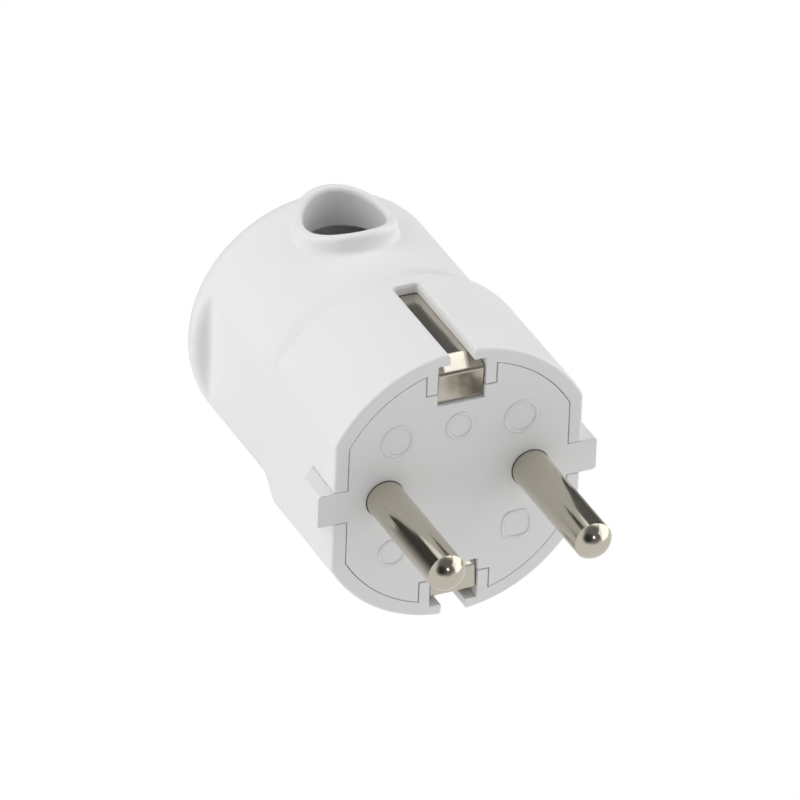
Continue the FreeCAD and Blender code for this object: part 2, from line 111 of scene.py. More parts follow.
@dataclass(frozen=True)
class NoiseKind:
    """Fineness of one noise texture."""

    detail: float
    roughness: float


class NodeSheet:
    """Small helper that lays out nodes in one tree."""

    def __init__(self, tree: bpy.types.NodeTree) -> None:
        """Keeps the tree that the nodes go into."""
        self.tree = tree

    def add(
        self, kind: str, inputs: dict[Any, Any] | None = None, **settings: Any
    ) -> bpy.types.Node:
        """Adds a node.

        Args:
            kind: Blender's identifier of the node type.
            inputs: Values or output sockets by input name or index.
            settings: Plain attributes of the node.

        Returns:
            The new node.
        """
        node = self.tree.nodes.new(kind)
        for name, value in settings.items():
            setattr(node, name, value)
        for key, value in (inputs or {}).items():
            self.feed(node.inputs[key], value)
        return node

    def feed(self, socket: bpy.types.NodeSocket, value: Any) -> None:
        """Links an output socket to an input, or sets the input's own value.

        Args:
            socket: The input.
            value: An output socket or a plain value.
        """
        if isinstance(value, bpy.types.NodeSocket):
            self.tree.links.new(value, socket)
        else:
            socket.default_value = value

    def spread(self, value: Any, low: Any, high: Any) -> bpy.types.NodeSocket:
        """Maps a 0 to 1 value onto low to high and returns the result."""
        inputs = {"Value": value, "To Min": low, "To Max": high}
        return self.add("ShaderNodeMapRange", inputs).outputs["Result"]

    def noise(self, vector: Any, scale: Any, kind: NoiseKind) -> bpy.types.NodeSocket:
        """Adds a noise texture.

        Args:
            vector: Place on the surface.
            scale: Scale of the texture.
            kind: Fineness of the texture.

        Returns:
            Its 0 to 1 factor.
        """
        inputs = {
            "Vector": vector,
            "Scale": scale,
            "Detail": kind.detail,
            "Roughness": kind.roughness,
        }
        return self.add("ShaderNodeTexNoise", inputs).outputs["Fac"]


class EffectGroups:
    """Surface effects shared by the finishes, each a node group that is built once."""

    GRAIN = NoiseKind(detail=3.0, roughness=0.6)
    DRIFT = NoiseKind(detail=2.0, roughness=0.5)
    LINES = NoiseKind(detail=4.0, roughness=0.65)
    CLOUD = NoiseKind(detail=3.0, roughness=0.55)
    WAVE = NoiseKind(detail=1.0, roughness=0.5)

    def __init__(self) -> None:
        """Builds every group."""
        self.moulded_skin = self._group(
            "moulded_skin",
            {"Grain Scale": 2600.0, "Drift Scale": 90.0},
            {"Grain": 0.0, "Drift": 0.0},
            self._lay_moulded_skin,
        )
        self.drawn_metal = self._group(
            "drawn_metal",
            {
                "Stretch": Along.NONE.value,
                "Line Scale": 4000.0,
                "Cloud Scale": 160.0,
                "Wave Scale": 400.0,
            },
            {"Lines": 0.0, "Cloud": 0.0, "Wave": 0.0},
            self._lay_drawn_metal,
        )
        self.tone = self._group(
            "tone",
            {"Light": WHITE, "Dark": (0.8, 0.8, 0.8, 1.0), "Mask": 0.5},
            {"Color": WHITE},
            self._lay_tone,
        )

    def _group(
        self,
        name: str,
        inputs: dict[str, Any],
        outputs: dict[str, Any],
        lay: Callable[[NodeSheet, bpy.types.Node, bpy.types.Node], None],
    ) -> bpy.types.NodeTree:
        """Makes one node group.

        Args:
            name: Name of the group.
            inputs: Input names with their default values.
            outputs: Output names with a value of their kind.
            lay: Method that adds the nodes between the two ends.

        Returns:
            The finished group.
        """
        tree = bpy.data.node_groups.new(name, "ShaderNodeTree")
        for side, sockets in (("INPUT", inputs), ("OUTPUT", outputs)):
            for label, value in sockets.items():
                kind = SOCKET_KINDS[len(value) if isinstance(value, tuple) else 1]
                socket = tree.interface.new_socket(name=label, in_out=side, socket_type=kind)
                socket.default_value = value
        sheet = NodeSheet(tree)
        lay(sheet, sheet.add("NodeGroupInput"), sheet.add("NodeGroupOutput"))
        return tree

    def _lay_moulded_skin(
        self, sheet: NodeSheet, start: bpy.types.Node, end: bpy.types.Node
    ) -> None:
        """Lays a fine mould grain and a slow drift of tone.

        Args:
            sheet: Node sheet of the group.
            start: The group's input node.
            end: The group's output node.
        """
        place = sheet.add("ShaderNodeTexCoord").outputs["Object"]
        grain = sheet.noise(place, start.outputs["Grain Scale"], self.GRAIN)
        drift = sheet.noise(place, start.outputs["Drift Scale"], self.DRIFT)
        sheet.feed(end.inputs["Grain"], grain)
        sheet.feed(end.inputs["Drift"], drift)

    def _lay_drawn_metal(
        self, sheet: NodeSheet, start: bpy.types.Node, end: bpy.types.Node
    ) -> None:
        """Lays fine drawing lines, a cloudy plating and a slight waviness.

        Args:
            sheet: Node sheet of the group.
            start: The group's input node.
            end: The group's output node.
        """
        place = sheet.add("ShaderNodeTexCoord").outputs["Object"]
        factors = {0: place, 1: start.outputs["Stretch"]}
        drawn = sheet.add("ShaderNodeVectorMath", factors, operation="MULTIPLY").outputs[0]
        lines = sheet.noise(drawn, start.outputs["Line Scale"], self.LINES)
        cloud = sheet.noise(drawn, start.outputs["Cloud Scale"], self.CLOUD)
        wave = sheet.noise(place, start.outputs["Wave Scale"], self.WAVE)
        sheet.feed(end.inputs["Lines"], lines)
        sheet.feed(end.inputs["Cloud"], cloud)
        sheet.feed(end.inputs["Wave"], wave)

    def _lay_tone(self, sheet: NodeSheet, start: bpy.types.Node, end: bpy.types.Node) -> None:
        """Mixes two tones by a mask.

        Args:
            sheet: Node sheet of the group.
            start: The group's input node.
            end: The group's output node.
        """
        mix = sheet.add("ShaderNodeMix", data_type="RGBA")
        first, second = (socket for socket in mix.inputs if socket.type == "RGBA")
        sheet.feed(mix.inputs[MIX_FACTOR], start.outputs["Mask"])
        sheet.feed(first, start.outputs["Dark"])
        sheet.feed(second, start.outputs["Light"])
        result = next(socket for socket in mix.outputs if socket.type == "RGBA")
        sheet.feed(end.inputs["Color"], result)


def opaque(colour: Colour) -> Rgba:
    """Returns the colour with full alpha."""
    return (*colour, 1.0)


def blank_sheet(owner: bpy.types.Material | bpy.types.World) -> NodeSheet:
    """Switches a material or a world to nodes.

    Args:
        owner: The material or world.

    Returns:
        Its emptied node sheet.
    """
    owner.use_nodes = True
    owner.node_tree.nodes.clear()
    return NodeSheet(owner.node_tree)


def new_material(name: str) -> tuple[bpy.types.Material, NodeSheet, bpy.types.Node]:
    """Starts a node material.

    Args:
        name: Name of the material.

    Returns:
        The material, its node sheet and its Principled shader.
    """
    material = bpy.data.materials.new(name)
    sheet = blank_sheet(material)
    shader = sheet.add("ShaderNodeBsdfPrincipled")
    sheet.add("ShaderNodeOutputMaterial", {"Surface": shader.outputs["BSDF"]})
    return material, sheet, shader


def mixed_tone(
    sheet: NodeSheet, groups: EffectGroups, tones: tuple[Colour, Colour], mask: Any
) -> bpy.types.NodeSocket:
    """Adds the shared tone effect to a material.

    Args:
        sheet: Node sheet of the material.
        groups: The shared effect groups.
        tones: The light and the dark tone.
        mask: Share of the light tone.

    Returns:
        The mixed colour.
    """
    light, dark = tones
    inputs = {"Light": opaque(light), "Dark": opaque(dark), "Mask": mask}
    return sheet.add("ShaderNodeGroup", inputs, node_tree=groups.tone).outputs["Color"]


def relief(sheet: NodeSheet, height: Any, depth: float, normal: Any) -> bpy.types.NodeSocket:
    """Adds a bump to a material.

    Args:
        sheet: Node sheet of the material.
        height: The 0 to 1 height.
        depth: Height of the relief in metres.
        normal: Normal that the relief goes onto.

    Returns:
        The bumped normal.
    """
    inputs = {"Strength": 1.0, "Distance": depth, "Height": height, "Normal": normal}
    return sheet.add("ShaderNodeBump", inputs).outputs["Normal"]


def soft_edge(sheet: NodeSheet, radius: float) -> bpy.types.NodeSocket:
    """Adds a rounding of the edges in metres and returns its normal."""
    bevel = sheet.add("ShaderNodeBevel", {"Radius": radius}, samples=BEVEL_SAMPLES)
    return bevel.outputs["Normal"]


@dataclass(frozen=True)
class PlasticFinish:
    """A moulded plastic surface, with its depths and radius in metres."""

    name: str
    light: Colour
    dark: Colour
    rough_low: float
    rough_high: float
    grain_scale: float
    grain_depth: float
    edge_radius: float

    def material(self, groups: EffectGroups) -> bpy.types.Material:
        """Builds the material.

        Args:
            groups: The shared effect groups.

        Returns:
            The finished material.
        """
        material, sheet, shader = new_material(self.name)
        scale = {"Grain Scale": self.grain_scale}
        skin = sheet.add("ShaderNodeGroup", scale, node_tree=groups.moulded_skin)
        drift, grain = skin.outputs["Drift"], skin.outputs["Grain"]
        colour = mixed_tone(sheet, groups, (self.light, self.dark), drift)
        rough = sheet.spread(drift, self.rough_low, self.rough_high)
        normal = relief(sheet, grain, self.grain_depth, soft_edge(sheet, self.edge_radius))
        sheet.feed(shader.inputs["Base Color"], colour)
        sheet.feed(shader.inputs["Roughness"], rough)
        sheet.feed(shader.inputs["Normal"], normal)
        return material


@dataclass(frozen=True)
class MetalFinish:
    """A plated metal surface, with its depths and radius in metres."""

    name: str
    light: Colour
    dark: Colour
    rough_low: float
    rough_high: float
    along: Along
    line_scale: float
    line_depth: float
    wave_depth: float
    edge_radius: float

    def material(self, groups: EffectGroups) -> bpy.types.Material:
        """Builds the material.

        Args:
            groups: The shared effect groups.

        Returns:
            The finished material.
        """
        material, sheet, shader = new_material(self.name)
        run = {"Stretch": self.along.value, "Line Scale": self.line_scale}
        drawn = sheet.add("ShaderNodeGroup", run, node_tree=groups.drawn_metal)
        colour = mixed_tone(sheet, groups, (self.light, self.dark), drawn.outputs["Cloud"])
        rough = sheet.spread(drawn.outputs["Lines"], self.rough_low, self.rough_high)
        normal = soft_edge(sheet, self.edge_radius)
        normal = relief(sheet, drawn.outputs["Wave"], self.wave_depth, normal)
        normal = relief(sheet, drawn.outputs["Lines"], self.line_depth, normal)
        shader.inputs["Metallic"].default_value = 1.0
        sheet.feed(shader.inputs["Base Color"], colour)
        sheet.feed(shader.inputs["Roughness"], rough)
        sheet.feed(shader.inputs["Normal"], normal)
        return material


class FinishRack:
    """All finishes of the plug, by record slot."""

    FINISHES: dict[Slot, PlasticFinish | MetalFinish] = {
        Slot.WHITE_SHELL: PlasticFinish(
            name="white_moulding",
            light=(0.87, 0.87, 0.87),
            dark=(0.84, 0.84, 0.84),
            rough_low=0.40,
            rough_high=0.50,
            grain_scale=3200.0,
            grain_depth=0.000004,
            edge_radius=0.00018,
        ),
        Slot.GREY_PLASTIC: PlasticFinish(
            name="grey_moulding",
            light=(0.46, 0.46, 0.47),
            dark=(0.40, 0.40, 0.41),
            rough_low=0.45,
            rough_high=0.60,
            grain_scale=2400.0,
            grain_depth=0.000012,
            edge_radius=0.00018,
        ),
        Slot.NICKEL_BRASS: MetalFinish(
            name="nickel_on_turned_brass",
            light=(0.66, 0.62, 0.53),
            dark=(0.58, 0.54, 0.45),
            rough_low=0.08,
            rough_high=0.20,
            along=Along.PIN,
            line_scale=2500.0,
            line_depth=0.000002,
            wave_depth=0.00001,
            edge_radius=0.00006,
        ),
        Slot.NICKEL_STRIP: MetalFinish(
            name="nickel_on_strip",
            light=(0.67, 0.63, 0.55),
            dark=(0.58, 0.54, 0.46),
            rough_low=0.14,
            rough_high=0.24,
            along=Along.STRIP_WIDTH,
            line_scale=2500.0,
            line_depth=0.000002,
            wave_depth=0.00005,
            edge_radius=0.00012,
        ),
        Slot.PLATED_STEEL: MetalFinish(
            name="zinc_on_steel",
            light=(0.70, 0.70, 0.68),
            dark=(0.58, 0.58, 0.57),
            rough_low=0.20,
            rough_high=0.38,
            along=Along.NONE,
            line_scale=1800.0,
            line_depth=0.000004,
            wave_depth=0.00002,
            edge_radius=0.00012,
        ),
    }

    def __init__(self, groups: EffectGroups) -> None:
        """Builds one material for each slot."""
        self.materials = {slot: kind.material(groups) for slot, kind in self.FINISHES.items()}

    def dress(self, piece: bpy.types.Object, slot: Slot) -> None:
        """Puts a slot's finish on a piece.

        Args:
            piece: The piece.
            slot: The record slot that it belongs to.
        """
        piece.data.materials.clear()
        piece.data.materials.append(self.materials[slot])


def mesh_piece(name: str, points: Iterable[Point], faces: Iterable[Face]) -> bpy.types.Object:
    """Makes a smooth mesh object that rides on the part.

    Args:
        name: Name of the piece.
        points: Vertices in metres.
        faces: Corner numbers of each face.

    Returns:
        The new object.
    """
    mesh = bpy.data.meshes.new(name)
    mesh.from_pydata(list(points), [], list(faces))
    mesh.validate()
    work = bmesh.new()
    work.from_mesh(mesh)
    bmesh.ops.recalc_face_normals(work, faces=work.faces)
    work.to_mesh(mesh)
    work.free()
    mesh.shade_smooth()
    mesh.set_sharp_from_angle(angle=SHARP_EDGE)
    piece = bpy.data.objects.new(name, mesh)
    bpy.context.scene.collection.objects.link(piece)
    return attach(piece, ROOT)


def band(rows: list[list[Point]], closed: bool) -> tuple[list[Point], list[Face]]:
    """Skins a set of closed rings of equal length.

    Args:
        rows: The rings, in order.
        closed: Whether the last ring joins the first one.

    Returns:
        The points and the four-cornered faces.
    """
    count = len(rows[0])
    points = [point for row in rows for point in row]
    faces: list[Face] = []
    for i in range(len(rows) if closed else len(rows) - 1):
        here, there = i * count, (i + 1) % len(rows) * count
        for j in range(count):
            k = (j + 1) % count
            faces.append((here + j, here + k, there + k, there + j))
    return points, faces


def rod(rows: list[list[Point]]) -> tuple[list[Point], list[Face]]:
    """Skins a set of closed rings and closes both ends.

    Args:
        rows: The rings, in order.

    Returns:
        The points and the faces.
    """
    points, faces = band(rows, False)
    count = len(rows[0])
    faces += [tuple(range(count)), tuple(range(len(points) - count, len(points)))]
    return points, faces


def arc(centre: Vector, radius: float, start: float, end: float, steps: int) -> list[Vector]:
    """Lays points on an arc of a flat path.

    Args:
        centre: Centre of the arc.
        radius: Radius of the arc.
        start: First angle, from the path's upward direction.
        end: Last angle.
        steps: Number of steps between the two.

    Returns:
        The points.
    """
    turns = [start + (end - start) * i / steps for i in range(steps + 1)]
    return [centre + Vector((math.sin(turn), math.cos(turn))) * radius for turn in turns]


def fillet(
    before: Vector, corner: Vector, after: Vector, radius: float, steps: int
) -> list[Vector]:
    """Rounds one corner of a flat path.

    Args:
        before: Point before the corner.
        corner: The corner.
        after: Point after the corner.
        radius: Radius of the rounding.
        steps: Number of points on the rounding.

    Returns:
        The points that take the corner's place.
    """
    back = (before - corner).normalized()
    onward = (after - corner).normalized()
    half = back.angle(onward) / 2
    centre = corner + (back + onward).normalized() * (radius / math.sin(half))
    start = (corner + back * (radius / math.tan(half)) - centre).normalized()
    end = (corner + onward * (radius / math.tan(half)) - centre).normalized()
    return [centre + start.slerp(end, i / (steps - 1)) * radius for i in range(steps)]


@dataclass
class CadPieces:
    """A sub-assembly whose shapes are carried over from the solids."""

    title: str
    nodes: dict[str, Slot]

    def build(self) -> list[bpy.types.Object]:
        """Returns the carried-over objects."""
        return [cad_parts[name] for name in self.nodes]

    def dress(self, rack: FinishRack) -> None:
        """Puts each node's finish on it."""
        for name, slot in self.nodes.items():
            rack.dress(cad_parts[name], slot)


@dataclass
class EarthStrap:
    """The bent earth strip with a lead-in ramp behind each nose, in millimetres."""

    title: str = "earth strap"
    node: str = "earth_strap"
    thickness: float = 0.8
    ramp_len: float = 2.6
    ramp_deg: float = 29.0
    ramp_bend_r: float = 1.2
    lip_r: float = 1.6
    lip_deg: float = 50.0
    crease_r: float = 0.5
    inner_crease_r: float = 0.15
    nose_len: float = 5.27
    nose_back: float = 0.3
    rear_r: float = 3.6
    edge: float = 0.08
    housing_hole_r: float = 2.3
    earth_hole_r: float = 1.8
    earth_hole_y: float = -8.61
    hole_sides: int = 64
    steps: int = 14

    def build(self) -> list[bpy.types.Object]:
        """Makes the strap in the place of the plain one.

        Returns:
            The strap.
        """
        self.low, self.high = (Vector(corner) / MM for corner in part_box(self.node))
        outer = self.outline(0.0, self.crease_r)
        inner = self.outline(self.thickness, self.inner_crease_r)
        rows = [self.section(above, below) for above, below in zip(outer, inner)]
        self.piece = mesh_piece("earth_strap_formed", *rod(rows))
        self.drill(self.housing_hole_r, 0.0)
        self.drill(self.earth_hole_r, self.earth_hole_y)
        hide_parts(self.node)
        return [self.piece]

    def outline(self, inset: float, crease_r: float) -> list[Vector]:
        """Lays one face of the strip, from the upper nose's end to the lower one's.

        Args:
            inset: Depth of the face under the outer one.
            crease_r: Radius of the crease between ramp and nose.

        Returns:
            The points, as depth behind the pin face and height.
        """
        front, rear, top = -self.high.z, -self.low.z, self.high.y
        slope = math.radians(self.ramp_deg)
        bend = Vector((front + self.ramp_len, top - self.ramp_bend_r))
        ramp = arc(bend, self.ramp_bend_r - inset, -slope, 0.0, self.steps)
        nose = front + inset
        tip = Vector((nose + self.nose_back, top - self.nose_len))
        crease = Vector((nose, ramp[0].y - (ramp[0].x - nose) * math.tan(slope)))
        rear_bend = Vector((rear - self.rear_r, top - self.rear_r))
        bends = [
            *fillet(tip, crease, ramp[0], crease_r, self.steps),
            *ramp,
            *arc(rear_bend, self.rear_r - inset, 0.0, RIGHT_ANGLE, self.steps),
        ]
        lower = [*self.lip(tip, crease, 0.0 if inset else self.lip_r), *bends]
        return [tip, *bends] + [Vector((p.x, -p.y)) for p in reversed(lower)]

    def lip(self, tip: Vector, crease: Vector, drop_r: float) -> list[Vector]:
        """Lays the lower nose's end, which is rounded back on its outer face.

        Args:
            tip: End of the straight nose.
            crease: Corner between nose and ramp.
            drop_r: Radius by which the end falls back, or 0 for a straight one.

        Returns:
            The points from the nose's end to its straight part.
        """
        widest = math.radians(self.lip_deg)
        onward = (tip - crease).normalized()
        root = tip - onward * (self.lip_r * math.sin(widest))
        points = []
        for i in range(self.steps + 1):
            turn = widest * (1 - i / self.steps)
            drop = Vector((drop_r * (1 - math.cos(turn)), 0.0))
            points.append(root + onward * (self.lip_r * math.sin(turn)) + drop)
        return points

    def section(self, outer: Vector, inner: Vector) -> list[Point]:
        """Lays the strip's cross-section between two facing points, with its edges broken.

        Args:
            outer: Point on the outer face.
            inner: Point on the inner face.

        Returns:
            The corners of the section in metres.
        """
        half, edge = self.high.x, self.edge
        under = outer.lerp(inner, edge / self.thickness)
        over = inner.lerp(outer, edge / self.thickness)
        right = [(half - edge, outer), (half, under), (half, over), (half - edge, inner)]
        corners = right + [(-x, p) for x, p in reversed(right)]
        return [(x * MM, p.y * MM, -p.x * MM) for x, p in corners]

    def drill(self, radius: float, height: float) -> None:
        """Cuts one round hole through the web.

        Args:
            radius: Radius of the hole.
            height: Height of its centre.
        """
        turns = [FULL_TURN * i / self.hole_sides for i in range(self.hole_sides)]
        ring = [(radius * math.cos(turn), height + radius * math.sin(turn)) for turn in turns]
        reach = (self.low.z - self.thickness, self.low.z + 2 * self.thickness)
        rows = [[(x * MM, y * MM, z * MM) for x, y in ring] for z in reach]
        cutter = mesh_piece("strap_drill", *rod(rows))
        cut = self.piece.modifiers.new("hole", "BOOLEAN")
        cut.object = cutter
        cut.operation = "DIFFERENCE"
        cut.solver = "EXACT"
        cut_piece = self.piece.evaluated_get(bpy.context.evaluated_depsgraph_get())
        drilled = bpy.data.meshes.new_from_object(cut_piece)
        self.piece.modifiers.clear()
        self.piece.data = drilled
        bpy.data.objects.remove(cutter)

    def dress(self, rack: FinishRack) -> None:
        """Puts the plated strip's finish on the strap."""
        rack.dress(self.piece, Slot.NICKEL_STRIP)


@dataclass(frozen=True)
class FaceMark:
    """A blank raised ring on the pin face, in millimetres."""

    name: str
    x: float
    y: float
    radius: float
    squareness: float = 2.0


@dataclass
class FaceMarks:
    """The blank raised rings on the pin carrier's face, in millimetres."""

    title: str = "face marks"
    marks: tuple[FaceMark, ...] = (
        FaceMark("mark_upper_left", -8.1, 7.6, 2.2),
        FaceMark("mark_upper_middle", 0.0, 8.0, 1.9),
        FaceMark("mark_upper_right", 8.0, 7.5, 2.3),
        FaceMark("mark_lower_right", 8.0, -7.6, 2.05, 3.2),
        FaceMark("mark_lower_left", -8.3, -7.9, 1.95),
    )
    width: float = 0.5
    height: float = 0.13
    sink: float = 0.03
    steps: int = 8
    segments: int = 96

    def build(self) -> list[bpy.types.Object]:
        """Makes one ring for each mark."""
        self.pieces = [self.ring(mark) for mark in self.marks]
        return self.pieces

    def section(self) -> list[tuple[float, float]]:
        """Lays a ring's cross-section, which swells softly out of the face.

        Returns:
            The corners, as distance from the ring's middle line and height.
        """
        half = self.width / 2
        corners = [(-half, -self.sink)]
        for i in range(self.steps + 1):
            swell = (1 - math.cos(FULL_TURN * i / self.steps)) / 2
            corners.append((self.width * i / self.steps - half, self.height * swell))
        return [*corners, (half, -self.sink)]

    def ring(self, mark: FaceMark) -> bpy.types.Object:
        """Makes one raised ring.

        Args:
            mark: Place and size of the ring.

        Returns:
            The ring.
        """
        section = self.section()
        power = mark.squareness
        rows = []
        for i in range(self.segments):
            turn = FULL_TURN * i / self.segments
            c, s = math.cos(turn), math.sin(turn)
            middle = mark.radius - self.width / 2
            middle /= (abs(c) ** power + abs(s) ** power) ** (1 / power)
            places = [(middle + offset, height) for offset, height in section]
            rows.append([
                ((mark.x + r * c) * MM, (mark.y + r * s) * MM, height * MM)
                for r, height in places
            ])
        return mesh_piece(mark.name, *band(rows, True))

    def dress(self, rack: FinishRack) -> None:
        """Puts the white moulding on every ring."""
        for piece in self.pieces:
            rack.dress(piece, Slot.WHITE_SHELL)


@dataclass(frozen=True)
class Thread:
    """Thread of one screw, in millimetres, measured from the screw's tip."""

    node: str
    tip: Tip
    shank_r: float
    pitch: float
    start: float
    length: float


@dataclass
class ScrewThreads:
    """The threads cut on the screws' shanks, in millimetres."""

    title: str = "screw threads"
    threads: tuple[Thread, ...] = (
        Thread("housing_screw", Tip.PIN_WAY, 2.0, 0.7, 0.4, 11.0),
        Thread("clamp_screw_left", Tip.PIN_WAY, 1.45, 0.8, 0.4, 10.4),
        Thread("clamp_screw_right", Tip.PIN_WAY, 1.45, 0.8, 0.4, 10.4),
        Thread("earth_screw", Tip.PIN_WAY, 1.7, 0.6, 0.3, 4.6),
        Thread("terminal_screw_left", Tip.FROM_CABLE, 1.45, 0.5, 0.3, 2.7),
        Thread("terminal_screw_right", Tip.FROM_CABLE, 1.45, 0.5, 0.3, 2.7),
    )
    height: float = 0.085
    root: float = 0.02
    half_share: float = 0.42
    end_share: float = 0.1
    steps: int = 28

    def build(self) -> list[bpy.types.Object]:
        """Makes one winding ridge for each screw."""
        self.pieces = [self.ridge(thread) for thread in self.threads]
        return self.pieces

    def ridge(self, thread: Thread) -> bpy.types.Object:
        """Makes the winding ridge of one thread, which fades at both ends.

        Args:
            thread: The screw and its thread.

        Returns:
            The ridge.
        """
        way, across, beside = thread.tip.value
        low, high = (Vector(corner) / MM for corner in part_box(thread.node))
        tip = (low + high) / 2 + way * abs((high - low).dot(way)) / 2
        count = round(self.steps * thread.length / thread.pitch)
        foot = thread.shank_r - self.root
        rows = []
        for i in range(count + 1):
            turn = FULL_TURN * i / self.steps
            out = across * math.cos(turn) + beside * math.sin(turn)
            back = thread.start + thread.length * i / count
            fade = min(1.0, self.end_share + min(i, count - i) / self.steps)
            crest = thread.shank_r + self.height * fade
            half = self.half_share * thread.pitch * fade
            section = ((foot, -half), (crest, 0.0), (foot, half))
            rows.append([tuple((tip + out * r - way * (back + d)) * MM) for r, d in section])
        return mesh_piece(thread.node + "_thread", *rod(rows))

    def dress(self, rack: FinishRack) -> None:
        """Puts the plated steel on every ridge."""
        for piece in self.pieces:
            rack.dress(piece, Slot.PLATED_STEEL)


@dataclass
class HexNut:
    """The nut in the pin carrier, with its chamfered corners, in millimetres."""

    title: str = "housing nut"
    node: str = "housing_nut"
    flats: float = 7.0
    bore_r: float = 2.1
    bore_chamfer: float = 0.3
    face_share: float = 0.96
    chamfer_deg: float = 30.0
    sides: int = 6
    segments: int = 96

    def build(self) -> list[bpy.types.Object]:
        """Makes the nut in the place of the plain one.

        Returns:
            The nut.
        """
        low, high = (corner.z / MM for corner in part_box(self.node))
        side = FULL_TURN / self.sides
        face_r = self.flats / 2 * self.face_share
        sink = self.bore_chamfer
        slope = math.tan(math.radians(self.chamfer_deg))
        columns = []
        for i in range(self.segments):
            turn = FULL_TURN * i / self.segments
            corner_r = self.flats / 2 / math.cos(turn % side - side / 2)
            drop = (corner_r - face_r) * slope
            outline = (
                (self.bore_r, low + sink),
                (self.bore_r + sink, low),
                (face_r, low),
                (corner_r, low + drop),
                (corner_r, high - drop),
                (face_r, high),
                (self.bore_r + sink, high),
                (self.bore_r, high - sink),
            )
            c, s = math.cos(turn), math.sin(turn)
            columns.append([(r * c * MM, r * s * MM, z * MM) for r, z in outline])
        rows = [list(row) for row in zip(*columns)]
        self.piece = mesh_piece("housing_nut_chamfered", *band(rows, True))
        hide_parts(self.node)
        return [self.piece]

    def dress(self, rack: FinishRack) -> None:
        """Puts the plated steel on the nut."""
        rack.dress(self.piece, Slot.PLATED_STEEL)


@dataclass(frozen=True)
class SkyZone:
    """A round part of the surroundings with its own brightness, which metal mirrors."""

    centre: Point
    inner_deg: float
    outer_deg: float
    level: float


@dataclass(frozen=True)
class Softbox:
    """A flat lamp, with its sizes and distance in metres and its power in watts."""

    name: str
    direction: Point
    power: float
    width: float
    height: float
    distance: float = 0.8
    mirrored: bool = True


